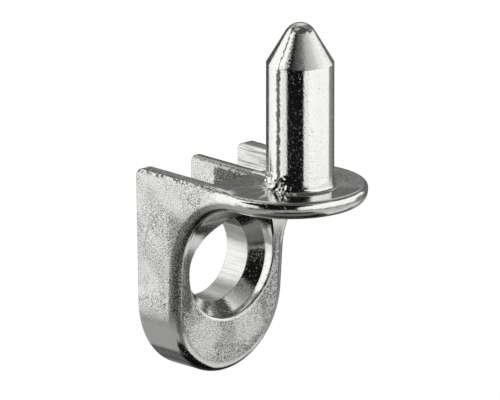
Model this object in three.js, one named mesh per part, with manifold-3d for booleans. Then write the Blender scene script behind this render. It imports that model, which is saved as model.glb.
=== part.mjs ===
import * as THREE from "three";
import { mergeVertices } from "three/addons/utils/BufferGeometryUtils.js";
import Module from "manifold-3d";

// A shelf support: one zinc die casting, nickel plated. Its pin plugs into a 5 mm hole in the cabinet
// side and its body is screwed to the shelf. Millimetres, +Z up along the pin. X runs across the body,
// and Y from the flange's nose (-Y) to the face that bears on the shelf (+Y). The origin is on the pin's
// axis, in the plane of the rib tops, which bear on the cabinet side.

// Pin
const PIN_RADIUS = 2.5;
const PIN_SHOULDER_Z = 9.22;
const PIN_TIP_RADIUS = 1.25;
const PIN_CONE_ANGLE = THREE.MathUtils.degToRad(31);
const PIN_FOOT_FILLET = 0.3;
const PIN_ROOT_Z = -1.0;

// Flange and body
const HALF_WIDTH = 5.74;
const FRONT_ROUND = 0.9;

// Flange: a round plate under the pin, with a small rounding above and FRONT_ROUND below
const FLANGE_CENTRE_Y = 1.1;
const FLANGE_TOP_Z = -0.12;
const FLANGE_UNDER_Z = -1.54;
const FLANGE_TOP_ROUND = 0.35;

// Body: a plate with a round bottom, whose front sweeps forward into the flange
const BACK_Y = 11.5;
const SWEEP_RADIUS = 6.1;
const FRONT_DRAFT = THREE.MathUtils.degToRad(3);
const SIDE_DRAFT = THREE.MathUtils.degToRad(1.4);
const BOTTOM_CENTRE_Z = -10.2;
const BOTTOM_DROP = 5.8;
const BACK_ROUND = 0.15;

// Ribs: two side walls and a thin rib between them, with open pockets that run out at the back
const WALL_THICKNESS = 1.2;
const MID_RIB_THICKNESS = 0.55;
const MID_RIB_X = 0.1;
const RIB_RAMP = 0.5;
const RIB_CORNER_ROUND = 0.6;
const RIB_TOP_ROUND = 0.2;
const POCKET_FLOOR_Z = -3.0;
const POCKET_SKIN = 1.2;

// Screw hole along Y: a wide mouth, a countersink and a bore
const HOLE_Z = -7.5;
const MOUTH_RADIUS = 4.2;
const MOUTH_END_Y = 8.12;
const BORE_RADIUS = 3.2;
const BORE_START_Y = 8.95;
const BORE_BACK_CHAMFER = 0.35;

// Making: how far a facet may stray from its arc, how far a cutter overruns, and what counts as one point
const CHORD_ERROR = 0.005;
const OVERRUN = 1.0;
const WELD = 1e-5;

const QUARTER = Math.PI / 2;
const sweepCentreY = FLANGE_CENTRE_Y;
const sweepCentreZ = FLANGE_UNDER_Z - SWEEP_RADIUS;
const wasm = await Module();
wasm.setup();

// A closed three.js geometry as a solid that can be joined and cut.
function solid(geometry) {
  const bare = geometry.clone();
  bare.deleteAttribute("normal");
  bare.deleteAttribute("uv");
  const merged = mergeVertices(bare, WELD);
  const vertProperties = new Float32Array(merged.attributes.position.array);
  const triVerts = new Uint32Array(merged.index.array);
  return new wasm.Manifold(new wasm.Mesh({ numProp: 3, vertProperties, triVerts }));
}

// The solid's surface as a three.js geometry again.
function geometryOf(manifold) {
  const mesh = manifold.getMesh();
  const geometry = new THREE.BufferGeometry();
  geometry.setAttribute("position", new THREE.BufferAttribute(new Float32Array(mesh.vertProperties), 3));
  geometry.setIndex(new THREE.BufferAttribute(new Uint32Array(mesh.triVerts), 1));
  geometry.computeVertexNormals();
  return geometry;
}

// The number of facets that keeps an arc within CHORD_ERROR.
function facets(radius, angle) {
  const widest = 2 * Math.acos(1 - CHORD_ERROR / radius);
  return Math.ceil(Math.abs(angle) / widest);
}

// Points on an arc in a plane, from one angle to another.
function arc(cx, cy, radius, from, to) {
  const steps = facets(radius, to - from);
  return Array.from({ length: steps + 1 }, (_, i) => {
    const angle = from + ((to - from) * i) / steps;
    return new THREE.Vector2(cx + radius * Math.cos(angle), cy + radius * Math.sin(angle));
  });
}

// A lathe about Z from a profile of (radius, z) points that starts and ends on the axis.
function turned(profile, widestRadius) {
  const geometry = new THREE.LatheGeometry(profile, facets(widestRadius, 2 * Math.PI));
  geometry.rotateX(QUARTER);
  return geometry;
}

// An outline of (y, z) points extruded along X between two places.
function extrudedAlongX(outline, fromX, toX) {
  const geometry = new THREE.ExtrudeGeometry(new THREE.Shape(outline), {
    depth: toX - fromX,
    bevelEnabled: false,
  });
  geometry.applyMatrix4(new THREE.Matrix4().makeBasis(
    new THREE.Vector3(0, 1, 0),
    new THREE.Vector3(0, 0, 1),
    new THREE.Vector3(1, 0, 0),
  ));
  return geometry.translate(fromX, 0, 0);
}

// An outline of (x, z) points extruded along Y between two places.
function extrudedAlongY(outline, fromY, toY) {
  const geometry = new THREE.ExtrudeGeometry(new THREE.Shape(outline), {
    depth: toY - fromY,
    bevelEnabled: false,
  });
  geometry.rotateX(QUARTER);
  return geometry.translate(0, toY, 0);
}

// The pin: a fillet at its foot, a straight shank, a cone and a round tip.
function pin() {
  const apexZ = PIN_SHOULDER_Z + PIN_RADIUS / Math.tan(PIN_CONE_ANGLE);
  const tipCentreZ = apexZ - PIN_TIP_RADIUS / Math.sin(PIN_CONE_ANGLE);
  const footRadius = PIN_RADIUS + PIN_FOOT_FILLET;
  const footZ = FLANGE_TOP_Z + PIN_FOOT_FILLET;
  const root = [new THREE.Vector2(0, PIN_ROOT_Z), new THREE.Vector2(footRadius, PIN_ROOT_Z)];
  const foot = arc(footRadius, footZ, PIN_FOOT_FILLET, -QUARTER, -Math.PI);
  const shoulder = new THREE.Vector2(PIN_RADIUS, PIN_SHOULDER_Z);
  const tip = arc(0, tipCentreZ, PIN_TIP_RADIUS, PIN_CONE_ANGLE, QUARTER);
  tip[tip.length - 1].x = 0;
  return turned([...root, ...foot, shoulder, ...tip], PIN_RADIUS);
}

function flange() {
  const underCentre = HALF_WIDTH - FRONT_ROUND;
  const topCentre = HALF_WIDTH - FLANGE_TOP_ROUND;
  const under = arc(underCentre, FLANGE_UNDER_Z + FRONT_ROUND, FRONT_ROUND, -QUARTER, 0);
  const top = arc(topCentre, FLANGE_TOP_Z - FLANGE_TOP_ROUND, FLANGE_TOP_ROUND, 0, QUARTER);
  const axisUnder = new THREE.Vector2(0, FLANGE_UNDER_Z);
  const axisTop = new THREE.Vector2(0, FLANGE_TOP_Z);
  return turned([axisUnder, ...under, ...top, axisTop], HALF_WIDTH).translate(0, FLANGE_CENTRE_Y, 0);
}

// Half the body's width at a height: it narrows downwards from the flange's underside.
function halfWidthAt(z) {
  return HALF_WIDTH - Math.max(0, FLANGE_UNDER_Z - z) * Math.tan(SIDE_DRAFT);
}

// Places along the sharp front edge of the body's left half, from the flange down to the lowest point.
// Each has the edge's place and the outward directions of the side and of the front there.
function frontEdge() {
  const sweep = arc(sweepCentreY, sweepCentreZ, SWEEP_RADIUS, QUARTER, FRONT_DRAFT).map(({ x: y, y: z }) => ({
    at: new THREE.Vector3(-halfWidthAt(z), y, z),
    side: new THREE.Vector3(-1, 0, 0),
    front: new THREE.Vector3(0, sweepCentreY - y, sweepCentreZ - z).normalize(),
  }));
  const start = sweep[sweep.length - 1];
  const bottomHalf = halfWidthAt(BOTTOM_CENTRE_Z);
  const steps = facets(BOTTOM_DROP, QUARTER);
  const round = Array.from({ length: steps + 1 }, (_, i) => {
    const across = Math.cos((QUARTER * i) / steps);
    const down = Math.sin((QUARTER * i) / steps);
    const z = BOTTOM_CENTRE_Z - BOTTOM_DROP * down;
    const y = start.at.y + (start.at.z - z) * Math.tan(FRONT_DRAFT);
    return {
      at: new THREE.Vector3(-bottomHalf * across, y, z),
      side: new THREE.Vector3(-BOTTOM_DROP * across, 0, -bottomHalf * down).normalize(),
      front: start.front,
    };
  });
  return [...sweep, ...round];
}

// The points around the body's rim at one place: the front rounding, the side and the back rounding.
function rimSection({ at, side, front }) {
  const rounding = arc(0, 0, FRONT_ROUND, QUARTER, 0).map(({ x: out, y: forward }) =>
    at.clone()
      .addScaledVector(side, out - FRONT_ROUND)
      .addScaledVector(front, forward - FRONT_ROUND));
  const foot = rounding[rounding.length - 1];
  const back = arc(0, 0, BACK_ROUND, 0, QUARTER).map(({ x: out, y: backward }) =>
    new THREE.Vector3(foot.x, BACK_Y + backward - BACK_ROUND, foot.z)
      .addScaledVector(side, out - BACK_ROUND));
  return [...rounding, ...back];
}

// The body as one closed skin: rim sections all round the outline, joined across the front, back and top.
// It starts above the rib tops, where the upper limits trim it.
function body() {
  const left = frontEdge().map(rimSection);
  left.unshift(left[0].map(({ x, y }) => new THREE.Vector3(x, y, OVERRUN)));
  const right = left.slice(0, -1).reverse().map((section) =>
    section.map((point) => new THREE.Vector3(-point.x, point.y, point.z)));
  const sections = [...left, ...right];
  const last = sections.length - 1;
  const lowest = last / 2;
  const end = sections[0].length - 1;
  const index = [];
  const at = (section, point) => section * (end + 1) + point;
  const quad = (a, b, c, d) => index.push(a, b, c, a, c, d);
  for (let s = 0; s < last; s += 1) {
    for (let p = 0; p < end; p += 1) {
      quad(at(s, p), at(s, p + 1), at(s + 1, p + 1), at(s + 1, p));
    }
  }
  for (let s = 0; s < lowest - 1; s += 1) {
    const mirror = last - s;
    quad(at(s, 0), at(s + 1, 0), at(mirror - 1, 0), at(mirror, 0));
    quad(at(s, end), at(mirror, end), at(mirror - 1, end), at(s + 1, end));
  }
  index.push(at(lowest - 1, 0), at(lowest, 0), at(lowest + 1, 0));
  index.push(at(lowest - 1, end), at(lowest + 1, end), at(lowest, end));
  for (let p = 0; p < end; p += 1) {
    quad(at(0, p), at(last, p), at(last, p + 1), at(0, p + 1));
  }
  const geometry = new THREE.BufferGeometry();
  const positions = sections.flat().flatMap((point) => point.toArray());
  geometry.setAttribute("position", new THREE.Float32BufferAttribute(positions, 3));
  geometry.setIndex(index);
  return geometry;
}

// The body's upper limits: rounded along the outer top edges and at the back corner, with the rib tops
// ramped down to the flange at their front ends.
function upperLimits() {
  const topHalf = HALF_WIDTH - RIB_TOP_ROUND;
  const clear = HALF_WIDTH + OVERRUN;
  const lowZ = BOTTOM_CENTRE_Z - BOTTOM_DROP - OVERRUN;
  const frontY = FLANGE_CENTRE_Y - OVERRUN;
  const backY = BACK_Y + OVERRUN;
  const section = [
    new THREE.Vector2(-clear, lowZ),
    new THREE.Vector2(clear, lowZ),
    new THREE.Vector2(clear, -RIB_TOP_ROUND),
    ...arc(topHalf, -RIB_TOP_ROUND, RIB_TOP_ROUND, 0, QUARTER),
    ...arc(-topHalf, -RIB_TOP_ROUND, RIB_TOP_ROUND, QUARTER, Math.PI),
    new THREE.Vector2(-clear, -RIB_TOP_ROUND),
  ];
  const profile = [
    new THREE.Vector2(frontY, lowZ),
    new THREE.Vector2(backY, lowZ),
    new THREE.Vector2(backY, -RIB_CORNER_ROUND),
    ...arc(BACK_Y - RIB_CORNER_ROUND, -RIB_CORNER_ROUND, RIB_CORNER_ROUND, 0, QUARTER),
    new THREE.Vector2(FLANGE_CENTRE_Y + RIB_RAMP, 0),
    new THREE.Vector2(FLANGE_CENTRE_Y, FLANGE_TOP_Z),
    new THREE.Vector2(frontY, FLANGE_TOP_Z),
  ];
  const along = solid(extrudedAlongY(section, frontY, backY));
  return along.intersect(solid(extrudedAlongX(profile, -clear, clear)));
}

// One open pocket between two ribs: it keeps the front skin whole, stops at the core that carries the
// flange, and lays the flange's flat top bare between the ribs.
function pocket(fromX, toX) {
  const skinRadius = SWEEP_RADIUS + POCKET_SKIN;
  const floorAngle = Math.asin((POCKET_FLOOR_Z - sweepCentreZ) / skinRadius);
  const rimAngle = Math.asin((FLANGE_UNDER_Z - sweepCentreZ) / skinRadius);
  const skin = arc(sweepCentreY, sweepCentreZ, skinRadius, floorAngle, rimAngle);
  const profile = [
    new THREE.Vector2(skin[skin.length - 1].x, FLANGE_TOP_Z),
    new THREE.Vector2(FLANGE_CENTRE_Y - OVERRUN, FLANGE_TOP_Z),
    new THREE.Vector2(FLANGE_CENTRE_Y - OVERRUN, OVERRUN),
    new THREE.Vector2(BACK_Y + OVERRUN, OVERRUN),
    new THREE.Vector2(BACK_Y + OVERRUN, POCKET_FLOOR_Z),
    ...skin,
  ];
  const coreRadius = HALF_WIDTH - FRONT_ROUND;
  const coreHeight = FLANGE_TOP_Z - POCKET_FLOOR_Z + OVERRUN;
  const coreSides = facets(coreRadius, 2 * Math.PI);
  const core = new THREE.CylinderGeometry(coreRadius, coreRadius, coreHeight, coreSides);
  core.rotateX(QUARTER).translate(0, FLANGE_CENTRE_Y, FLANGE_TOP_Z - coreHeight / 2);
  return solid(extrudedAlongX(profile.reverse(), fromX, toX)).subtract(solid(core));
}

// The screw hole's cutter, turned about Z and laid along Y with its bore towards the back.
function screwHole() {
  const profile = [
    new THREE.Vector2(0, FLANGE_CENTRE_Y),
    new THREE.Vector2(MOUTH_RADIUS, FLANGE_CENTRE_Y),
    new THREE.Vector2(MOUTH_RADIUS, MOUTH_END_Y),
    new THREE.Vector2(BORE_RADIUS, BORE_START_Y),
    new THREE.Vector2(BORE_RADIUS, BACK_Y - BORE_BACK_CHAMFER),
    new THREE.Vector2(BORE_RADIUS + BORE_BACK_CHAMFER + OVERRUN, BACK_Y + OVERRUN),
    new THREE.Vector2(0, BACK_Y + OVERRUN),
  ];
  return turned(profile, MOUTH_RADIUS).rotateX(-QUARTER).translate(0, 0, HOLE_Z);
}

// The whole casting: the limited body with its pockets, joined to the flange and the pin, then bored.
function shelfSupport() {
  const innerWall = HALF_WIDTH - WALL_THICKNESS;
  const midHalf = MID_RIB_THICKNESS / 2;
  const casting = solid(body())
    .intersect(upperLimits())
    .subtract(pocket(-innerWall, MID_RIB_X - midHalf))
    .subtract(pocket(MID_RIB_X + midHalf, innerWall))
    .add(solid(flange()))
    .add(solid(pin()))
    .subtract(solid(screwHole()));
  return geometryOf(casting);
}

const nickel = new THREE.MeshStandardMaterial({ color: 0xb4b4b2, roughness: 0.22, metalness: 1.0 });
const support = new THREE.Mesh(shelfSupport(), nickel);
support.name = "shelf_support";

const object = new THREE.Group();
object.add(support);

export default object;
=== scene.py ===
"""The looks of a nickel-plated shelf support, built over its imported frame.

The part is one zinc die casting: a plug-in pin on a round flange, over a ribbed body with a
countersunk screw hole. Shapes are modelled in millimetres and turned to metres when they are done.
"""

import logging
import math
from dataclasses import dataclass, field, replace
from enum import Enum
from typing import Callable, Iterable

import bmesh
import bpy
from mathutils import Matrix, Vector, noise


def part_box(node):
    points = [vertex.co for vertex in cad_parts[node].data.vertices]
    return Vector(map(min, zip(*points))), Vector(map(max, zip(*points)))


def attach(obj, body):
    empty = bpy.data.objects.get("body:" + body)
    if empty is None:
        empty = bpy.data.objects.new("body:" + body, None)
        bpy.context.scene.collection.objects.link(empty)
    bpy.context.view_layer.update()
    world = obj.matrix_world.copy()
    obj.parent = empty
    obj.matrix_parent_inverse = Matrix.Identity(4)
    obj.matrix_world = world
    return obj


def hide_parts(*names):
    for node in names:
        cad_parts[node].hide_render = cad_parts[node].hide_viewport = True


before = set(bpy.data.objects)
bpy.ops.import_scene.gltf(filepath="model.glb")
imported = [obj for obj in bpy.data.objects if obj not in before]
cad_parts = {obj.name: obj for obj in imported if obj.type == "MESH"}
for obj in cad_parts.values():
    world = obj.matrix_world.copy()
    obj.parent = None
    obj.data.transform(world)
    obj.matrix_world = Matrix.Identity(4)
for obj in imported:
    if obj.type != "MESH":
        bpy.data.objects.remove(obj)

LOG = logging.getLogger("shelf_support")
NODE = "shelf_support"
MM = 0.001
QUARTER = math.pi / 2

# How far a cutter runs past what it cuts, and how close counts as the same place, in millimetres.
OVERRUN = 1.0
TOUCHING = 1e-5
WELD = 1e-4
LOOSE_WELD = 2e-4
NEAR = 1e-3
ALMOST = 0.01

WHITE = (1.0, 1.0, 1.0, 1.0)
PRODUCT = {"operation": "MULTIPLY"}
LARGEST = {"operation": "MAXIMUM"}
CLAMPED_SUM = {"operation": "ADD", "use_clamp": True}

Source = bpy.types.Node | bpy.types.NodeSocket
Sources = dict[str, Source]
Place = tuple[float, float]


class Joining(Enum):
    """How one solid acts on another."""

    ADD = "UNION"
    CUT = "DIFFERENCE"
    KEEP_COMMON = "INTERSECT"


class Axis(Enum):
    """The direction of an extrusion, as the places of the outline's two axes and of that one."""

    X = (1, 2, 0)
    Y = (0, 2, 1)


# ---------------------------------------------------------------- small tools


def linear(hex_colour: str) -> tuple[float, float, float, float]:
    """Turns an sRGB hex colour to linear.

    Args:
        hex_colour: six hex digits with a leading hash.

    Returns:
        Linear red, green, blue and an alpha of 1.
    """
    channels = [int(hex_colour[i:i + 2], 16) / 255 for i in (1, 3, 5)]
    red, green, blue = (c / 12.92 if c <= 0.04045 else ((c + 0.055) / 1.055) ** 2.4
                        for c in channels)
    return red, green, blue, 1.0


def add_node(tree: bpy.types.NodeTree, kind: str, values: dict | None = None) -> bpy.types.Node:
    """Adds one node with its settings and incoming links.

    Args:
        tree: the tree that the node goes in.
        kind: the node's type name, without the ShaderNode that all of them start with.
        values: settings, defaults and links, by the node's property or by its socket's name or
            number. A node stands for its first output in use.

    Returns:
        The new node.
    """
    node = tree.nodes.new("ShaderNode" + kind)
    for name, value in (values or {}).items():
        if isinstance(value, bpy.types.Node):
            value = next(output for output in value.outputs if output.enabled)
        if isinstance(value, bpy.types.NodeSocket):
            tree.links.new(value, node.inputs[name])
        elif isinstance(name, int) or name in node.inputs:
            node.inputs[name].default_value = value
        else:
            setattr(node, name, value)
    return node


def add_chain(tree: bpy.types.NodeTree, kind: str, values: dict,
              sources: Iterable[Source]) -> Source:
    """Merges sources one after another, each through a node of its own with the same values.

    Args:
        tree: the tree that the nodes go in.
        kind: the nodes' type name, as add_node takes it.
        values: the values that the nodes share.
        sources: what is merged, in order.

    Returns:
        The last node.
    """
    merged, *others = sources
    for source in others:
        merged = add_node(tree, kind, {**values, 0: merged, 1: source})
    return merged


def new_material(name: str) -> tuple[bpy.types.Material, bpy.types.NodeTree]:
    """Makes a material with an empty node tree.

    Args:
        name: the material's name.

    Returns:
        The material and its tree.
    """
    made = bpy.data.materials.new(name)
    made.use_nodes = True
    made.node_tree.nodes.clear()
    return made, made.node_tree


def stepped(start: float, end: float, steps: int) -> list[float]:
    """Divides the way from start to end.

    Args:
        start: where it starts, which is left out.
        end: where it ends.
        steps: how many steps it takes.

    Returns:
        The places after each step.
    """
    return [start + (end - start) * i / steps for i in range(1, steps + 1)]


def arc(across: float, up: float, radius: float, start: float, end: float,
        steps: int) -> list[Vector]:
    """Points on an arc in a plane.

    Args:
        across: the centre's first coordinate.
        up: the centre's second coordinate.
        radius: the arc's radius.
        start: the first angle in radians.
        end: the last angle in radians.
        steps: how many pieces the arc has.

    Returns:
        The points in order, both ends included.
    """
    angles = (start + (end - start) * i / steps for i in range(steps + 1))
    return [Vector((across + radius * math.cos(a), up + radius * math.sin(a))) for a in angles]


def new_object(bm: bmesh.types.BMesh, name: str) -> bpy.types.Object:
    """Wraps a finished bmesh in an object of the scene and frees it.

    Args:
        bm: the shape, in millimetres.
        name: the object's name.

    Returns:
        The new object.
    """
    bmesh.ops.recalc_face_normals(bm, faces=bm.faces)
    mesh = bpy.data.meshes.new(name)
    bm.to_mesh(mesh)
    bm.free()
    made = bpy.data.objects.new(name, mesh)
    bpy.context.scene.collection.objects.link(made)
    return made


def opened(target: bpy.types.Object, weld: float) -> bmesh.types.BMesh:
    """Opens an object's mesh for editing, with its close points made one.

    Args:
        target: the object.
        weld: how close such points are.

    Returns:
        The mesh.
    """
    bm = bmesh.new()
    bm.from_mesh(target.data)
    bmesh.ops.remove_doubles(bm, verts=bm.verts, dist=weld)
    return bm


def close(bm: bmesh.types.BMesh, target: bpy.types.Object) -> None:
    """Gives an edited mesh back to its object.

    Args:
        bm: the edited mesh, which is freed.
        target: the object.
    """
    bm.to_mesh(target.data)
    bm.free()


def prism(outline: Iterable[Vector], axis: Axis, start: float, end: float) -> bmesh.types.BMesh:
    """Extrudes a closed outline along an axis.

    Args:
        outline: points in the plane across the axis.
        axis: the axis that it is extruded along.
        start: where it starts on the axis.
        end: where it ends on the axis.

    Returns:
        The closed prism.
    """
    bm = bmesh.new()
    first, second, along = axis.value
    corners = []
    for point in outline:
        place = Vector((0.0, 0.0, 0.0))
        place[first], place[second], place[along] = point.x, point.y, start
        corners.append(bm.verts.new(place))
    face = bm.faces.new(corners)
    moved = bmesh.ops.extrude_face_region(bm, geom=[face])
    step = Vector((0.0, 0.0, 0.0))
    step[along] = end - start
    ends = [part for part in moved["geom"] if isinstance(part, bmesh.types.BMVert)]
    bmesh.ops.translate(bm, vec=step, verts=ends)
    bmesh.ops.recalc_face_normals(bm, faces=bm.faces)
    return bm


def spun(profile: Iterable[Vector], steps: int) -> bmesh.types.BMesh:
    """Spins a profile that starts and ends on the Z axis.

    Args:
        profile: points as radius and height.
        steps: how many pieces go round.

    Returns:
        The closed solid of revolution.
    """
    bm = bmesh.new()
    points = [bm.verts.new((p.x, 0.0, p.y)) for p in profile]
    edges = [bm.edges.new(pair) for pair in zip(points, points[1:])]
    bmesh.ops.spin(bm, geom=points + edges, cent=(0, 0, 0), axis=(0, 0, 1), angle=2 * math.pi,
                   steps=steps, use_merge=True, use_duplicate=False)
    bmesh.ops.remove_doubles(bm, verts=bm.verts, dist=TOUCHING)
    bmesh.ops.recalc_face_normals(bm, faces=bm.faces)
    return bm


def baked(target: bpy.types.Object) -> None:
    """Applies every modifier of an object to its mesh.

    Args:
        target: the object.
    """
    graph = bpy.context.evaluated_depsgraph_get()
    done = bpy.data.meshes.new_from_object(target.evaluated_get(graph))
    target.modifiers.clear()
    target.data = done


def combine(target: bpy.types.Object, tool: bpy.types.Object, joining: Joining) -> None:
    """Joins a solid to the target or cuts it out, and removes it.

    Args:
        target: the solid that is kept.
        tool: the solid that acts on it.
        joining: how it acts.
    """
    change = target.modifiers.new(joining.name, "BOOLEAN")
    change.operation = joining.value
    change.solver = "EXACT"
    change.object = tool
    baked(target)
    bpy.data.objects.remove(tool)


def rounded(bm: bmesh.types.BMesh, chosen: Callable[[bmesh.types.BMEdge], bool], radius: float,
            segments: int) -> None:
    """Rounds the chosen edges.

    Args:
        bm: the solid.
        chosen: tells which edges are rounded.
        radius: the rounding's radius.
        segments: how many pieces each rounding has.
    """
    edges = [edge for edge in bm.edges if len(edge.link_faces) == 2 and chosen(edge)]
    bmesh.ops.bevel(bm, geom=edges, offset=radius, offset_type="OFFSET", affect="EDGES",
                    segments=segments, profile=0.5, material=-1, clamp_overlap=False)


def lumpy(place: Vector, lumps: tuple[float, float]) -> float:
    """Tells how high an uneven surface is.

    Args:
        place: a point on it.
        lumps: the lumps' height, and roughly how many there are along a millimetre.

    Returns:
        The height, above or below the mean.
    """
    height, often = lumps
    return height * noise.noise(place * often)


# ---------------------------------------------------------------- the casting's features


@dataclass
class Pin:
    """The plug-in pin: a fillet at its foot, a straight shank, a cone and a round tip.

    The two halves of the die left a fine raised seam down its side, and a lumpy collar at its foot.
    Lumps are a height and how many there are along a millimetre, roughly.
    """

    radius: float = 2.5
    shoulder_z: float = 9.22
    tip_radius: float = 1.25
    cone_angle: float = math.radians(31)
    foot_fillet: float = 0.3
    foot_z: float = -0.12
    root_z: float = -1.0
    seam_offset: float = -0.108
    seam_height: float = 0.03
    seam_width: float = 0.12
    seam_on_cone: float = 0.3
    seam_lumps: tuple[float, float] = (0.8, 2.4)
    collar_turn: float = math.radians(170)
    collar_spread: float = math.radians(40)
    collar_reach: float = 0.44
    collar_height: float = 1.35
    collar_level: float = 0.45
    collar_lumps: tuple[float, float] = (0.9, 2.3)
    collar_fine_lumps: tuple[float, float] = (0.55, 5.0)
    collar_edge: int = 4
    collar_taper: float = 1.5
    plain_radius: float = 0.4
    steps: int = 240
    foot_steps: int = 8
    collar_steps: int = 16
    shank_steps: int = 24
    cone_steps: int = 10
    tip_steps: int = 16

    def profile(self) -> list[Vector]:
        """Draws the pin's profile.

        Returns:
            Points as radius and height, from the root up.
        """
        apex = self.shoulder_z + self.radius / math.tan(self.cone_angle)
        tip_centre = apex - self.tip_radius / math.sin(self.cone_angle)
        foot_radius = self.radius + self.foot_fillet
        low = self.foot_z + self.foot_fillet
        foot = arc(foot_radius, low, self.foot_fillet, -QUARTER, -math.pi, self.foot_steps)
        tip = arc(0.0, tip_centre, self.tip_radius, self.cone_angle, QUARTER, self.tip_steps)
        tip[-1].x = 0.0
        root = [Vector((0.0, self.root_z)), Vector((foot_radius, self.root_z))]
        collar = stepped(low, self.collar_height, self.collar_steps)
        plain = stepped(self.collar_height, self.shoulder_z, self.shank_steps)
        shank = [Vector((self.radius, z)) for z in (*collar, *plain)]
        cone = [shank[-1].lerp(tip[0], i / self.cone_steps) for i in range(1, self.cone_steps)]
        return [*root, *foot, *shank, *cone, *tip]

    def swell(self, place: Vector) -> float:
        """Tells how far the seam and the collar push the surface out.

        Args:
            place: a point on the smooth pin.

        Returns:
            The push in millimetres.
        """
        radius = math.hypot(place.x, place.y)
        if place.z < self.foot_z - ALMOST or radius < self.plain_radius:
            return 0.0
        seam = 0.0
        if place.x < 0:
            off = (place.y - self.seam_offset * radius) / self.seam_width
            faint = self.seam_on_cone if place.z > self.shoulder_z else 1.0
            uneven = 1 + lumpy(place, self.seam_lumps)
            seam = self.seam_height * faint * math.exp(-off * off) * uneven
        turn = math.atan2(place.y, place.x) % (2 * math.pi) - self.collar_turn
        low = max(0.0, 1 - (place.z - self.foot_z) / (self.collar_height - self.foot_z))
        lumps = self.collar_level + lumpy(place, self.collar_lumps) \
            + lumpy(place, self.collar_fine_lumps)
        around = math.exp(-(turn / self.collar_spread) ** self.collar_edge)
        return seam + max(0.0, self.collar_reach * around * lumps * low ** self.collar_taper)

    def build(self) -> bpy.types.Object:
        """Makes the pin.

        Returns:
            The pin's solid.
        """
        bm = spun(self.profile(), self.steps)
        for vert in bm.verts:
            out = Vector((vert.co.x, vert.co.y, 0.0))
            if out.length > 0:
                vert.co += out.normalized() * self.swell(vert.co)
        return new_object(bm, "pin")


@dataclass
class Flange:
    """The round flange: flat above, with a small rounding above and a large one below."""

    radius: float
    centre_y: float = 1.1
    top_z: float = -0.12
    under_z: float = -1.54
    top_round: float = 0.35
    under_round: float = 0.9
    steps: int = 240
    top_steps: int = 10
    under_steps: int = 16

    def build(self) -> bpy.types.Object:
        """Makes the flange's solid.

        Returns:
            The solid.
        """
        under = arc(self.radius - self.under_round, self.under_z + self.under_round,
                    self.under_round, -QUARTER, 0.0, self.under_steps)
        top = arc(self.radius - self.top_round, self.top_z - self.top_round, self.top_round,
                  0.0, QUARTER, self.top_steps)
        axis_under, axis_top = Vector((0.0, self.under_z)), Vector((0.0, self.top_z))
        bm = spun([axis_under, *under, *top, axis_top], self.steps)
        bmesh.ops.translate(bm, vec=(0.0, self.centre_y, 0.0), verts=bm.verts)
        return new_object(bm, "flange")


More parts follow.
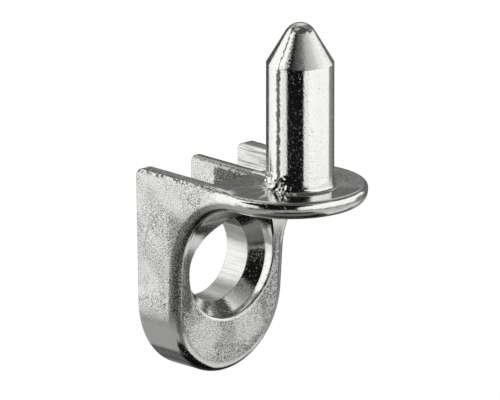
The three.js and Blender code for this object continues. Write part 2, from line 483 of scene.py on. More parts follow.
@dataclass
class Body:
    """The plate with a round bottom, whose front sweeps forward into the flange."""

    half_width: float
    back_y: float
    bottom_z: float
    flange: Flange
    sweep_radius: float = 6.1
    front_draft: float = math.radians(3)
    side_draft: float = math.radians(1.4)
    bottom_centre_z: float = -10.2
    rib_corner: float = 0.6
    rib_ramp: float = 2.4
    top_round: float = 0.18
    shoulder_round: float = 0.6
    shoulder_y: float = 2.6
    shoulder_spread: float = 1.6
    shoulder_start: float = 0.02
    shoulder_cuts: int = 20
    shoulder_step: float = 0.3
    flat_angle: float = math.radians(0.05)
    facing_slack: float = 0.02
    front_facing: float = -0.5
    sweep_facing: float = -0.3
    side_facing: float = 0.5
    sweep_steps: int = 48
    corner_steps: int = 10
    ramp_steps: int = 12
    bottom_steps: int = 96
    front_steps: int = 16
    back_steps: int = 5

    @property
    def sweep_centre(self) -> Vector:
        """The sweep's centre as Y and Z."""
        return Vector((self.flange.centre_y, self.flange.under_z - self.sweep_radius))

    def top_at(self, y: float) -> float:
        """Tells how high the rib tops are, which run down to the flange's top in a soft ramp.

        Args:
            y: a place along the ribs.

        Returns:
            The height there.
        """
        along = min(1.0, max(0.0, (y - self.flange.centre_y) / self.rib_ramp))
        return self.flange.top_z * (1 - along * along * (3 - 2 * along))

    def side_outline(self) -> list[Vector]:
        """Draws the body seen from its side.

        Returns:
            Points as Y and Z.
        """
        centre = self.sweep_centre
        sweep = arc(centre.x, centre.y, self.sweep_radius, QUARTER, self.front_draft,
                    self.sweep_steps)
        low = self.bottom_z - OVERRUN
        foot_y = sweep[-1].x + (sweep[-1].y - low) * math.tan(self.front_draft)
        corner = arc(self.back_y - self.rib_corner, -self.rib_corner, self.rib_corner, 0.0, QUARTER,
                     self.corner_steps)
        ramp = [self.flange.centre_y + self.rib_ramp * (1 - i / self.ramp_steps)
                for i in range(self.ramp_steps + 1)]
        return [*sweep, Vector((foot_y, low)), Vector((self.back_y, low)), *corner,
                *(Vector((y, self.top_at(y))) for y in ramp)]

    def front_outline(self) -> list[Vector]:
        """Draws the body seen from the front: straight sides over a half ellipse.

        Returns:
            Points as X and Z.
        """
        drop = self.bottom_centre_z - self.bottom_z
        turn = [Vector((self.half_width * p.x, self.bottom_centre_z + drop * p.y))
                for p in arc(0.0, 0.0, 1.0, 0.0, -math.pi, self.bottom_steps)]
        return [Vector((self.half_width, OVERRUN)), *turn, Vector((-self.half_width, OVERRUN))]

    def narrowed(self, bm: bmesh.types.BMesh) -> None:
        """Gives the sides their draft, from the flange's underside down to the round bottom.

        Args:
            bm: the body.
        """
        for vert in bm.verts:
            down = self.flange.under_z - max(vert.co.z, self.bottom_centre_z)
            vert.co.x *= 1 - max(0.0, down) * math.tan(self.side_draft) / self.half_width

    def is_front(self, face: bmesh.types.BMFace) -> bool:
        """Tells whether a face belongs to the front or to the sweep.

        Args:
            face: a face of the body.

        Returns:
            True for the front and the sweep.
        """
        normal, place = face.normal, face.calc_center_median()
        swept = normal.z < self.sweep_facing and place.z > self.sweep_centre.y
        return abs(normal.x) < self.facing_slack and (normal.y < self.front_facing or swept)

    def is_side(self, face: bmesh.types.BMFace) -> bool:
        """Tells whether a face belongs to a side or to the round bottom.

        Args:
            face: a face of the body.

        Returns:
            True for the sides and the bottom.
        """
        sideways = abs(face.normal.y) < self.facing_slack and face.normal.z < self.side_facing
        return sideways and not self.is_front(face)

    def eased(self, bm: bmesh.types.BMesh) -> None:
        """Widens the rounding of the outer top edges where they run into the flange.

        Args:
            bm: the body, with a small even rounding.
        """
        places = [self.flange.centre_y + self.shoulder_start + self.shoulder_step * i
                  for i in range(self.shoulder_cuts)]
        for y in places:
            bmesh.ops.bisect_plane(bm, geom=[*bm.verts, *bm.edges, *bm.faces], dist=TOUCHING,
                                   plane_co=(0.0, y, 0.0), plane_no=(0.0, 1.0, 0.0))
        for vert in bm.verts:
            top = self.top_at(vert.co.y)
            inward, down = self.half_width - abs(vert.co.x), top - vert.co.z
            if max(inward, down) > self.top_round + NEAR or vert.co.y > places[-1] + NEAR:
                continue
            near = (vert.co.y - self.shoulder_y) / self.shoulder_spread
            wider = (self.shoulder_round - self.top_round) * math.exp(-near * near)
            grown = (self.top_round + wider) / self.top_round
            vert.co.x = math.copysign(self.half_width - inward * grown, vert.co.x)
            vert.co.z = top - down * grown

    def build(self) -> bpy.types.Object:
        """Makes the body with its edges rounded.

        Returns:
            The body's solid.
        """
        reach = self.half_width + OVERRUN
        body = new_object(prism(self.side_outline(), Axis.X, -reach, reach), "body")
        front = prism(self.front_outline(), Axis.Y, -OVERRUN, self.back_y + OVERRUN)
        combine(body, new_object(front, "outline"), Joining.KEEP_COMMON)
        bm = opened(body, WELD)
        bmesh.ops.dissolve_limit(bm, angle_limit=self.flat_angle, verts=bm.verts, edges=bm.edges)
        bm.normal_update()

        def front_edge(edge: bmesh.types.BMEdge) -> bool:
            """Tells whether an edge lies between the front and a side.

            Args:
                edge: the edge.

            Returns:
                True for such an edge.
            """
            kinds = [(self.is_front(f), self.is_side(f)) for f in edge.link_faces]
            middle = (edge.verts[0].co + edge.verts[1].co) / 2
            return {(True, False), (False, True)} == set(kinds) and middle.z < self.flange.under_z

        def back_edge(edge: bmesh.types.BMEdge) -> bool:
            """Tells whether an edge lies between a side and the top or the back.

            Args:
                edge: the edge.

            Returns:
                True for such an edge.
            """
            sides = [self.is_side(f) for f in edge.link_faces]
            others = [f for f in edge.link_faces if not self.is_side(f) and not self.is_front(f)]
            return sum(sides) == 1 and len(others) == 1

        rounded(bm, back_edge, self.top_round, self.back_steps)
        bm.normal_update()
        rounded(bm, front_edge, self.flange.under_round, self.front_steps)
        self.eased(bm)
        self.narrowed(bm)
        close(bm, body)
        return body


@dataclass
class Pockets:
    """The two open pockets between the side walls and the thin middle rib."""

    body: Body
    wall: float = 1.2
    mid_rib: float = 0.55
    mid_rib_x: float = 0.1
    floor_z: float = -3.0
    skin: float = 1.2
    overlap: float = 0.3
    core_radius: float = 3.55
    core_depth: float = 4.0
    core_steps: int = 192
    open_y: float = 4.7
    rounding_start: float = 1.5
    rounding_slack: float = 0.1
    edge_round: float = 0.16
    wall_facing: float = 0.99
    skin_steps: int = 12
    edge_steps: int = 4

    def cutter(self, start: float, end: float) -> bpy.types.Object:
        """Makes the solid that clears one pocket.

        Args:
            start: its lower X.
            end: its upper X.

        Returns:
            The cutter, with the flange's core left out.
        """
        centre, flange = self.body.sweep_centre, self.body.flange
        radius = self.body.sweep_radius + self.skin
        low = math.asin((self.floor_z - centre.y) / radius)
        high = math.asin((flange.under_z - centre.y) / radius)
        skin = arc(centre.x, centre.y, radius, high, low, self.skin_steps)
        front, back = flange.centre_y - OVERRUN, self.body.back_y + OVERRUN
        sunk = flange.top_z - self.overlap
        outline = [*skin, Vector((back, self.floor_z)), Vector((back, OVERRUN)),
                   Vector((front, OVERRUN)), Vector((front, sunk)), Vector((skin[0].x, sunk))]
        made = new_object(prism(outline, Axis.X, start, end), "pocket")
        bm = bmesh.new()
        bmesh.ops.create_cone(bm, cap_ends=True, segments=self.core_steps, radius1=self.core_radius,
                              radius2=self.core_radius, depth=self.core_depth)
        middle = sunk - self.core_depth / 2 - self.overlap
        bmesh.ops.translate(bm, vec=(0.0, flange.centre_y, middle), verts=bm.verts)
        combine(made, new_object(bm, "core"), Joining.CUT)
        return made

    def open_into(self, flange: bpy.types.Object) -> None:
        """Cuts the part of the flange that would close the pockets.

        Args:
            flange: the flange's solid.
        """
        reach = self.body.half_width - self.wall + self.overlap
        corners = ((self.open_y, self.floor_z), (self.body.back_y, self.floor_z),
                   (self.body.back_y, OVERRUN), (self.open_y, OVERRUN))
        opening = prism([Vector(corner) for corner in corners], Axis.X, -reach, reach)
        combine(flange, new_object(opening, "opening"), Joining.CUT)

    def cut(self, target: bpy.types.Object) -> None:
        """Cuts both pockets out of the body.

        Args:
            target: the body.
        """
        inner = self.body.half_width - self.wall
        half = self.mid_rib / 2
        faces = (-inner, self.mid_rib_x - half, self.mid_rib_x + half, inner)
        for start, end in (faces[:2], faces[2:]):
            combine(target, self.cutter(start, end), Joining.CUT)
        bm = opened(target, WELD)
        bm.normal_update()

        def rib_edge(edge: bmesh.types.BMEdge) -> bool:
            """Tells whether an edge runs along a pocket's side, on the rib's top or its back.

            Args:
                edge: the edge.

            Returns:
                True for such an edge.
            """
            middle = (edge.verts[0].co + edge.verts[1].co) / 2
            on_side = min(abs(middle.x - x) for x in faces) < NEAR
            walls = sum(abs(face.normal.x) > self.wall_facing for face in edge.link_faces)
            on_top = self.body.top_at(middle.y) - middle.z < ALMOST
            corner_y = self.body.back_y - self.body.rib_corner
            at_back = middle.y > corner_y - self.rounding_slack
            begun = middle.y > self.body.flange.centre_y + self.rounding_start
            return on_side and walls == 1 and (on_top or at_back) and begun

        rounded(bm, rib_edge, self.edge_round, self.edge_steps)
        close(bm, target)


@dataclass
class ScrewHole:
    """The screw hole: a wide mouth, a countersink and a bore, along Y."""

    back_y: float
    front_y: float = 1.1
    z: float = -7.5
    mouth_radius: float = 4.2
    mouth_end_y: float = 8.12
    bore_radius: float = 3.2
    bore_start_y: float = 8.95
    back_chamfer: float = 0.35
    mouth_round: float = 0.2
    mouth_steps: int = 4
    steps: int = 240
    wall_facing: float = 0.05
    front_facing: float = -0.55

    def cutter(self) -> bpy.types.Object:
        """Turns the tool that clears the hole.

        Returns:
            The cutter.
        """
        profile = ((0.0, self.front_y), (self.mouth_radius, self.front_y),
                   (self.mouth_radius, self.mouth_end_y), (self.bore_radius, self.bore_start_y),
                   (self.bore_radius, self.back_y - self.back_chamfer),
                   (self.bore_radius + self.back_chamfer + OVERRUN, self.back_y + OVERRUN),
                   (0.0, self.back_y + OVERRUN))
        bm = spun([Vector(corner) for corner in profile], self.steps)
        bmesh.ops.rotate(bm, cent=(0, 0, 0), matrix=Matrix.Rotation(-QUARTER, 3, "X"),
                         verts=bm.verts)
        bmesh.ops.translate(bm, vec=(0.0, 0.0, self.z), verts=bm.verts)
        return new_object(bm, "hole")

    def cut(self, target: bpy.types.Object) -> None:
        """Cuts the hole and rounds the mouth's front edge.

        Args:
            target: the casting.
        """
        combine(target, self.cutter(), Joining.CUT)
        bm = opened(target, LOOSE_WELD)
        bmesh.ops.dissolve_degenerate(bm, edges=bm.edges, dist=LOOSE_WELD)
        bm.normal_update()

        def mouth_edge(edge: bmesh.types.BMEdge) -> bool:
            """Tells whether an edge lies between the mouth's wall and the front.

            Args:
                edge: the edge.

            Returns:
                True for such an edge.
            """
            radii = [math.hypot(vert.co.x, vert.co.z - self.z) for vert in edge.verts]
            on_wall = all(abs(radius - self.mouth_radius) < ALMOST for radius in radii)
            walls = sum(abs(face.normal.y) < self.wall_facing for face in edge.link_faces)
            fronts = sum(face.normal.y < self.front_facing for face in edge.link_faces)
            ahead = edge.verts[0].co.y < self.mouth_end_y - self.mouth_round
            return on_wall and walls == 1 and fronts == 1 and ahead

        rounded(bm, mouth_edge, self.mouth_round, self.mouth_steps)
        close(bm, target)


# ---------------------------------------------------------------- finish


@dataclass(frozen=True)
class Ramp:
    """How a value goes from low to high while a measure goes from start to end."""

    start: float
    end: float
    low: float = 0.0
    high: float = 1.0
    soft: bool = False

    def moved(self, by: float) -> "Ramp":
        """Shifts the ramp along its measure.

        Args:
            by: how far it is shifted.

        Returns:
            The shifted ramp.
        """
        return replace(self, start=self.start + by, end=self.end + by)

    def values(self, measure: Source) -> dict:
        """Gives the ramp as the values of a Map Range node.

        Args:
            measure: what the ramp follows.

        Returns:
            The node's values.
        """
        return {"interpolation_type": "SMOOTHSTEP" if self.soft else "LINEAR", "Value": measure,
                "From Min": self.start, "From Max": self.end,
                "To Min": self.low, "To Max": self.high}


@dataclass(frozen=True)
class Pattern:
    """A cloudy pattern, whose spots have a size in millimetres."""

    size: float
    detail: float
    roughness: float = 0.5
    distortion: float = 0.0

    def values(self, place: Source) -> dict:
        """Gives the pattern as the values of a Noise Texture node.

        Args:
            place: the place in millimetres.

        Returns:
            The node's values.
        """
        return {"Scale": 1 / self.size, "Detail": self.detail, "Roughness": self.roughness,
                "Distortion": self.distortion, "Vector": place}


@dataclass(frozen=True)
class NickelPlating:
    """Bright nickel plating over a zinc die casting.

    The plating is mirror-bright where the die was smooth, with a fine orange peel that frays the
    edge of every reflection and a few pits. The sides, the front face and the ribs show the
    casting's grain, whose dull-filmed hollows make them sparkle grey. In the pockets the plating
    is rougher, with painted shadow; painted shade also darkens the sweep under the flange and the
    front face's left strip and right side. The real grain is about 0.05 mm; it is drawn at twice
    that so that it shows. Lengths and places are in millimetres. A lean is one part of the
    surface's direction, from -1 to 1.
    """

    # Colours and roughness.
    colour: str = "#E6E6E3"
    # The dull grey darkens the grain's filmed hollows and also paints shadow in the pockets and
    # shade under the flange and on the front face; the stain colour marks the pin's seam and also
    # paints shade under the flange.
    film_and_shade: str = "#5C5C59"
    stain_and_shade: str = "#2E2D2B"
    polish: float = 0.055
    cast_roughness: float = 0.23
    top_roughness: float = 0.2
    bore_roughness: float = 0.28
    edge_round: float = 0.07
    edge_samples: int = 6

    # The casting's own sizes.
    half_width: float = 5.6
    back_y: float = 11.5
    crown_z: float = 0.3
    bottom_centre_z: float = -10.2
    bottom_drop: float = 5.75
    hole_z: float = -7.5
    mouth_radius: float = 4.2
    bore_reach: float = 3.25
    bore_start_y: float = 8.85
    middle_reach: float = 1.0
    rib_start_y: float = 4.9
    wall_inside: float = 4.62
    pocket_end_y: float = 8.95
    pocket_top_z: float = -0.1
    pocket_floor_z: float = -3.2
    sweep_start_y: float = 2.0
    left_face_x: float = -5.0
    shoulder_z: float = 9.22
    seam_offset: float = 0.108
    seam_width: float = 0.21

    # Where the cast faces begin and end, and how they lean.
    side_lean: Ramp = Ramp(0.25, 0.45, soft=True)
    front_lean: Ramp = Ramp(0.90, 0.985, soft=True)
    top_lean: Ramp = Ramp(0.75, 0.97, soft=True)
    sweep_lean: Ramp = Ramp(-0.55, -0.64, soft=True)
    under_lean: Ramp = Ramp(-1.01, -0.95, soft=True)
    corner_lean: Ramp = Ramp(0.03, 0.12, soft=True)
    side_low: Ramp = Ramp(-12.3, -10.0, soft=True)
    front_lip: Ramp = Ramp(0.90, 0.83, soft=True)
    mouth_lip: Ramp = Ramp(0.1, 0.25)
    body_start: Ramp = Ramp(1.6, 5.0, soft=True)
    body_top: Ramp = Ramp(0.02, -0.2)
    ledge: Ramp = Ramp(-0.6, -0.3)
    corner_reach: Ramp = Ramp(8.3, 7.6)
    corner_top: Ramp = Ramp(-2.2, -3.4)
    worn_towards: tuple[float, float, float] = (0.689, 0.725, 0.0)
    worn_start: Ramp = Ramp(-1.6, 0.6, soft=True)

    # The insides of the pockets, rougher and darkened with painted shadow, with a ragged edge.
    pocket_rag: Pattern = Pattern(0.25, 2.0)
    pocket_rag_z: float = 0.5
    pocket_rag_y: float = 0.3
    pocket_sunk: Ramp = Ramp(-0.18, -0.26)
    pocket_start: Ramp = Ramp(2.2, 2.9)
    pocket_end: Ramp = Ramp(0.25, 0.05)

    # The bare specks along the outer edges, and the middle rib's dull crest.
    flecks: Pattern = Pattern(0.2, 2.0)
    fleck_gap: Ramp = Ramp(0.5, 0.44)
    back_edge: Ramp = Ramp(-0.2, -0.08)
    outer_edge: Ramp = Ramp(-0.35, -0.2)
    top_edge: Ramp = Ramp(-0.32, -0.16)
    wander: float = 0.4
    rib_crest: Ramp = Ramp(-0.3, -0.2, high=0.7)

    # The stained line beside the pin's seam, finer on the cone.
    seam_rag: Pattern = Pattern(0.3, 3.0)
    seam_flecks: Pattern = Pattern(0.1, 1.0)
    seam_gap: Ramp = Ramp(0.36, 0.56, 1.0, 0.8)
    seam_line: Ramp = Ramp(0.0, -0.1)
    seam_fine: Ramp = Ramp(-0.1, 0.1, 1.0, 3.2)
    seam_side: Ramp = Ramp(-0.2, -0.6)
    seam_foot: Ramp = Ramp(0.1, 0.6)

    # The grain, coarser in patches and in two frosted spots, and drag marks inside the right wall.
    grain: Pattern = Pattern(0.1, 1.5, 0.6)
    grain_depth: float = 0.03
    patches: Pattern = Pattern(2.2, 1.0, distortion=0.6)
    patch_grain: Ramp = Ramp(0.38, 0.62, 0.6, 1.25)
    frost_centres: tuple[tuple[float, float, float], ...] = ((-2.5, 7.5, -12.8), (2.0, 7.5, -12.6))
    frost_rag: float = -1.6
    frost_edge: Ramp = Ramp(1.0, 0.5)
    frost_grain: float = 1.6
    level_grain: float = 1.2
    drag: Pattern = Pattern(0.16, 1.0)
    drag_depth: float = 0.05
    drag_stretch: tuple[float, float, float] = (1.0, 0.05, 1.0)
    drag_inner: Ramp = Ramp(3.4, 3.6)
    drag_outer: Ramp = Ramp(4.8, 4.7)

    # The orange peel, the pits, the slow waves and the round mark that the die left on one side.
    peel: Pattern = Pattern(0.12, 2.0, 0.6)
    peel_depth: float = 0.0065
    pits: Pattern = Pattern(0.17, 3.0, 0.75)
    pit_rise: Ramp = Ramp(0.63, 0.78, high=0.014)
    waves: Pattern = Pattern(2.6, 1.0)
    wave_depth: float = 0.035
    mark_centre: tuple[float, float, float] = (0.0, 6.92, -6.05)
    mark_radius: float = 3.7
    mark_step: Ramp = Ramp(-0.07, 0.07, high=0.02, soft=True)
    mark_low: Ramp = Ramp(-6.8, -5.4)
    mark_front: Ramp = Ramp(8.0, 9.2)

    # How much of the dark colour shows: the grain's filmed hollows, drag marks, bore and edge
    # specks;
    # painted shadow in the pockets; painted shade under the flange and along the front face's left
    # strip and right side; and a darker band where the sides turn towards the front.
    hollow_film: Ramp = Ramp(0.36, 0.56, 0.66, 0.0)
    front_film: float = 0.4
    drag_film: Ramp = Ramp(0.36, 0.50, 0.5, 0.0)
    bore_film: Ramp = Ramp(0.40, 0.56, 0.2, 0.0)
    # Painted shade: the front face's left strip and right side are darkened, less in the frosted
    # spots.
    strip_painted_shade: Ramp = Ramp(-3.7, -4.3, high=0.75, soft=True)
    strip_low: Ramp = Ramp(-11.6, -9.8, soft=True)
    right_painted_shade: Ramp = Ramp(0.5, 4.0, 0.05, 0.35, soft=True)
    frost_lightening: float = -0.35
    # Painted shadow in the pockets and painted shade on the sweep under the flange, patchy with the
    # grain and lighter on the pockets' level faces.
    patchy_painted_shade: Ramp = Ramp(0.4, 0.6, 1.35, 0.5)
    level_shade_cut: float = -0.5
    # Darkens a band on the sides where they turn towards the front.
    corner_darkening: float = 0.44
    edge_film: float = 0.9
    # Painted shade on the sweep under the flange, in the stain colour.
    sweep_painted_shade: float = 0.45

    def zones(self, tree: bpy.types.NodeTree) -> Sources:
        """Adds the nodes that tell the cast faces from the polished ones.

        Args:
            tree: the material's tree.

        Returns:
            Sources by name: the place in millimetres, its parts, and the zones from 0 to 1.
        """
        coordinates = add_node(tree, "TexCoord").outputs
        spot = add_node(tree, "VectorMath",
                        {"operation": "SCALE", 0: coordinates["Object"], "Scale": 1 / MM})
        x, y, z = add_node(tree, "SeparateXYZ", {0: spot}).outputs
        lean = add_node(tree, "SeparateXYZ", {0: coordinates["Normal"]}).outputs
        sideways = add_node(tree, "Math", {"operation": "ABSOLUTE", 0: lean["X"]})
        forwards = add_node(tree, "Math", {"operation": "MULTIPLY", 0: lean["Y"], 1: -1.0})
        across = add_node(tree, "VectorMath",
                          {"operation": "MULTIPLY", 0: spot, 1: (1.0, 0.0, 1.0)})
        around = add_node(tree, "VectorMath",
                          {"operation": "DISTANCE", 0: across, 1: (0.0, 0.0, self.hole_z)})
        zones = {"spot": spot, "x": x, "y": y, "z": z, "around": around}

        side = add_node(tree, "MapRange", self.side_lean.values(sideways))
        above = add_node(tree, "MapRange", self.side_low.values(z))
        wall = add_chain(tree, "Math", PRODUCT, (side, above))
        facing = add_node(tree, "MapRange", self.front_lean.values(forwards))
        front = add_chain(tree, "Math", PRODUCT, (facing, self.within_lip(tree, zones)))
        flat = add_chain(tree, "Math", LARGEST, (wall, front))
        clear = add_node(tree, "MapRange", self.mouth_lip.moved(self.mouth_radius).values(around))
        behind = add_node(tree, "MapRange", self.body_start.values(y))
        below = add_node(tree, "MapRange", self.body_top.values(z))
        body = add_chain(tree, "Math", PRODUCT, (behind, below))
        cast = add_chain(tree, "Math", PRODUCT, (flat, clear, body))

        upwards = add_node(tree, "MapRange", self.top_lean.values(lean["Z"]))
        ledge = add_node(tree, "MapRange", self.ledge.values(z))
        low = add_node(tree, "Math", {"operation": "LESS_THAN", 0: z, 1: self.crown_z})
        shelf = add_chain(tree, "Math", PRODUCT, (ledge, low))
        level = add_chain(tree, "Math", PRODUCT, (upwards, shelf))
        worn = add_node(tree, "VectorMath",
                        {"operation": "DOT_PRODUCT", 0: spot, 1: self.worn_towards})
        back = add_node(tree, "MapRange", self.worn_start.values(worn))
        top = add_chain(tree, "Math", PRODUCT, (level, back))

        # The sweep under the flange, which the colour darkens with painted shade.
        leaning = add_node(tree, "MapRange", self.sweep_lean.values(lean["Z"]))
        under = add_node(tree, "MapRange", self.under_lean.values(lean["Z"]))
        ahead = add_node(tree, "Math", {"operation": "GREATER_THAN", 0: y, 1: self.sweep_start_y})
        sweep = add_chain(tree, "Math", PRODUCT, (leaning, under, ahead))

        turned = add_node(tree, "MapRange", self.corner_lean.values(forwards))
        near = add_node(tree, "MapRange", self.corner_reach.values(y))
        lower = add_node(tree, "MapRange", self.corner_top.values(z))
        beside = add_chain(tree, "Math", PRODUCT, (near, lower))
        turned = add_chain(tree, "Math", LARGEST, (turned, beside))
        corner = add_chain(tree, "Math", PRODUCT, (turned, side, cast))
        return {**zones, "cast": cast, "front": front, "level": upwards, "top": top, "sweep": sweep,
                "corner": corner, "bore": self.bore(tree, zones), "edge": self.edges(tree, zones)}

    def within_lip(self, tree: bpy.types.NodeTree, zones: Sources) -> Source:
        """Adds the nodes that leave out a smooth lip along the front face's outline.

        Args:
            tree: the material's tree.
            zones: the place and its parts.

        Returns:
            1 within the lip and 0 on it.
        """
        wide = add_node(tree, "Math", {"operation": "DIVIDE", 0: zones["x"], 1: self.half_width})
        under = add_node(tree, "Math",
                         {"operation": "SUBTRACT", 0: zones["z"], 1: self.bottom_centre_z})
        low = add_node(tree, "Math", {"operation": "MINIMUM", 0: under, 1: 0.0})
        deep = add_node(tree, "Math", {"operation": "DIVIDE", 0: low, 1: self.bottom_drop})
        place = add_node(tree, "CombineXYZ", {"X": wide, "Z": deep})
        reach = add_node(tree, "VectorMath", {"operation": "LENGTH", 0: place})
        return add_node(tree, "MapRange", self.front_lip.values(reach))

    def bore(self, tree: bpy.types.NodeTree, zones: Sources) -> Source:
        """Adds the nodes that find the screw hole's bore.

        Args:
            tree: the material's tree.
            zones: the place and its parts.

        Returns:
            1 in the bore.
        """
        near = add_node(tree, "Math",
                        {"operation": "LESS_THAN", 0: zones["around"], 1: self.bore_reach})
        behind = add_node(tree, "Math",
                          {"operation": "GREATER_THAN", 0: zones["y"], 1: self.bore_start_y})
        return add_chain(tree, "Math", PRODUCT, (near, behind))

    def edges(self, tree: bpy.types.NodeTree, zones: Sources) -> Source:
        """Adds the nodes that find the bare specks on the outer edges and the middle rib's crest.

        Args:
            tree: the material's tree.
            zones: the place and its parts.

        Returns:
            Up to 1 where the plating is thin.
        """
        fleck = add_node(tree, "TexNoise", self.flecks.values(zones["spot"]))
        broken = add_node(tree, "MapRange", self.fleck_gap.values(fleck))
        back = add_node(tree, "MapRange", self.back_edge.moved(self.back_y).values(zones["y"]))
        wide = add_node(tree, "Math", {"operation": "ABSOLUTE", 0: zones["x"]})
        outer = add_node(tree, "MapRange", self.outer_edge.moved(self.half_width).values(wide))
        high = add_node(tree, "MapRange", self.top_edge.values(zones["z"]))
        over = add_node(tree, "Math", {"operation": "LESS_THAN", 0: zones["z"], 1: self.crown_z})
        rim = add_chain(tree, "Math", PRODUCT, (outer, high, over))
        rear = add_chain(tree, "Math", PRODUCT, (outer, back))
        both = add_chain(tree, "Math", LARGEST, (rim, rear))
        specks = add_chain(tree, "Math", PRODUCT, (both, broken))

        middle = add_node(tree, "Math", {"operation": "LESS_THAN", 0: wide, 1: self.middle_reach})
        behind = add_node(tree, "Math",
                          {"operation": "GREATER_THAN", 0: zones["y"], 1: self.rib_start_y})
        lifted = add_node(tree, "Math", {"operation": "MULTIPLY_ADD", 0: fleck, 1: self.wander,
                                         2: -self.wander / 2})
        height = add_node(tree, "Math", {"operation": "ADD", 0: zones["z"], 1: lifted})
        crest = add_node(tree, "MapRange", self.rib_crest.values(height))
        rib = add_chain(tree, "Math", PRODUCT, (middle, behind, crest, over))
        return add_chain(tree, "Math", LARGEST, (specks, rib))

    def pocket(self, tree: bpy.types.NodeTree, zones: Sources) -> Source:
        """Adds the nodes that find the inside of the pockets, which is rougher and darkened with
        painted shadow, with a ragged edge.

        Args:
            tree: the material's tree.
            zones: what zones() returns.

        Returns:
            1 where the plating is rougher and painted shadow darkens it.
        """
        x, y, z = zones["x"], zones["y"], zones["z"]
        ragged = add_node(tree, "TexNoise", self.pocket_rag.values(zones["spot"]))
        moved = add_node(tree, "Math",
                         {"operation": "MULTIPLY_ADD", 0: ragged, 1: self.pocket_rag_z, 2: z})
        sunk = add_node(tree, "MapRange", self.pocket_sunk.values(moved))
        middle = add_node(tree, "Math", {"operation": "LESS_THAN", 0: x, 1: self.middle_reach})
        sides = add_chain(tree, "Math", PRODUCT, (sunk, middle))
        deep = add_chain(tree, "Math", LARGEST, (sides, zones["level"]))
        edge = add_node(tree, "Math",
                        {"operation": "MULTIPLY_ADD", 0: ragged, 1: self.pocket_rag_y, 2: y})
        started = add_node(tree, "MapRange", self.pocket_start.values(y))
        ended = add_node(tree, "MapRange", self.pocket_end.moved(self.pocket_end_y).values(edge))
        wide = add_node(tree, "Math", {"operation": "ABSOLUTE", 0: x})
        within = add_node(tree, "Math", {"operation": "LESS_THAN", 0: wide, 1: self.wall_inside})
        low = add_node(tree, "Math", {"operation": "LESS_THAN", 0: z, 1: self.pocket_top_z})
        high = add_node(tree, "Math", {"operation": "GREATER_THAN", 0: z, 1: self.pocket_floor_z})
        return add_chain(tree, "Math", PRODUCT, (deep, started, ended, within, low, high))

    def seam(self, tree: bpy.types.NodeTree, zones: Sources) -> Source:
        """Adds the nodes that find the stained line beside the pin's seam, finer on the cone.

        Args:
            tree: the material's tree.
            zones: what zones() returns.

        Returns:
            The line's strength, from 0 to 1.
        """
        spot, z = zones["spot"], zones["z"]
        level = add_node(tree, "VectorMath", {"operation": "MULTIPLY", 0: spot, 1: (1.0, 1.0, 0.0)})
        radius = add_node(tree, "VectorMath", {"operation": "LENGTH", 0: level})
        off = add_node(tree, "Math", {"operation": "MULTIPLY_ADD", 0: radius, 1: self.seam_offset,
                                      2: zones["y"]})
        ragged = add_node(tree, "TexNoise", self.seam_rag.values(spot))
        wander = add_node(tree, "Math", {"operation": "MULTIPLY_ADD", 0: ragged, 1: self.wander,
                                         2: -self.wander / 2})
        moved = add_node(tree, "Math", {"operation": "ADD", 0: off, 1: wander})
        away = add_node(tree, "Math", {"operation": "ABSOLUTE", 0: moved})
        narrow = add_node(tree, "MapRange", self.seam_fine.moved(self.shoulder_z).values(z))
        scaled = add_chain(tree, "Math", PRODUCT, (away, narrow))
        line = add_node(tree, "MapRange", self.seam_line.moved(self.seam_width).values(scaled))
        left = add_node(tree, "MapRange", self.seam_side.values(zones["x"]))
        high = add_node(tree, "MapRange", self.seam_foot.values(z))
        both = add_chain(tree, "Math", PRODUCT, (left, high))
        fleck = add_node(tree, "TexNoise", self.seam_flecks.values(spot))
        broken = add_node(tree, "MapRange", self.seam_gap.values(fleck))
        kept = add_chain(tree, "Math", PRODUCT, (both, broken))
        return add_chain(tree, "Math", PRODUCT, (line, kept))

    def skin(self, tree: bpy.types.NodeTree, zones: Sources) -> Sources:
        """Adds the patterns of the casting's skin.

        Args:
            tree: the material's tree.
            zones: what zones() returns.

        Returns:
            Sources by name: the fine grain, how coarse it is here, the frosted spots, the drag
            marks and where they are.
        """
        spot, x = zones["spot"], zones["x"]
        grain = add_node(tree, "TexNoise", self.grain.values(spot))
        patch = add_node(tree, "TexNoise", self.patches.values(spot))
        coarse = add_node(tree, "MapRange", self.patch_grain.values(patch))
        frosted = []
        for centre in self.frost_centres:
            away = add_node(tree, "VectorMath", {"operation": "DISTANCE", 0: spot, 1: centre})
            ragged = add_node(tree, "Math", {"operation": "MULTIPLY_ADD", 0: patch,
                                             1: self.frost_rag, 2: away})
            frosted.append(add_node(tree, "MapRange", self.frost_edge.values(ragged)))
        frost = add_chain(tree, "Math", LARGEST, frosted)
        along = add_node(tree, "Mapping", {"Scale": self.drag_stretch, "Vector": spot})
        drag = add_node(tree, "TexNoise", self.drag.values(along))
        inner = add_node(tree, "MapRange", self.drag_inner.values(x))
        outer = add_node(tree, "MapRange", self.drag_outer.values(x))
        dragged = add_chain(tree, "Math", PRODUCT, (inner, outer, zones["cast"]))
        return {"grain": grain, "coarse": coarse, "frost": frost, "drag": drag, "dragged": dragged}

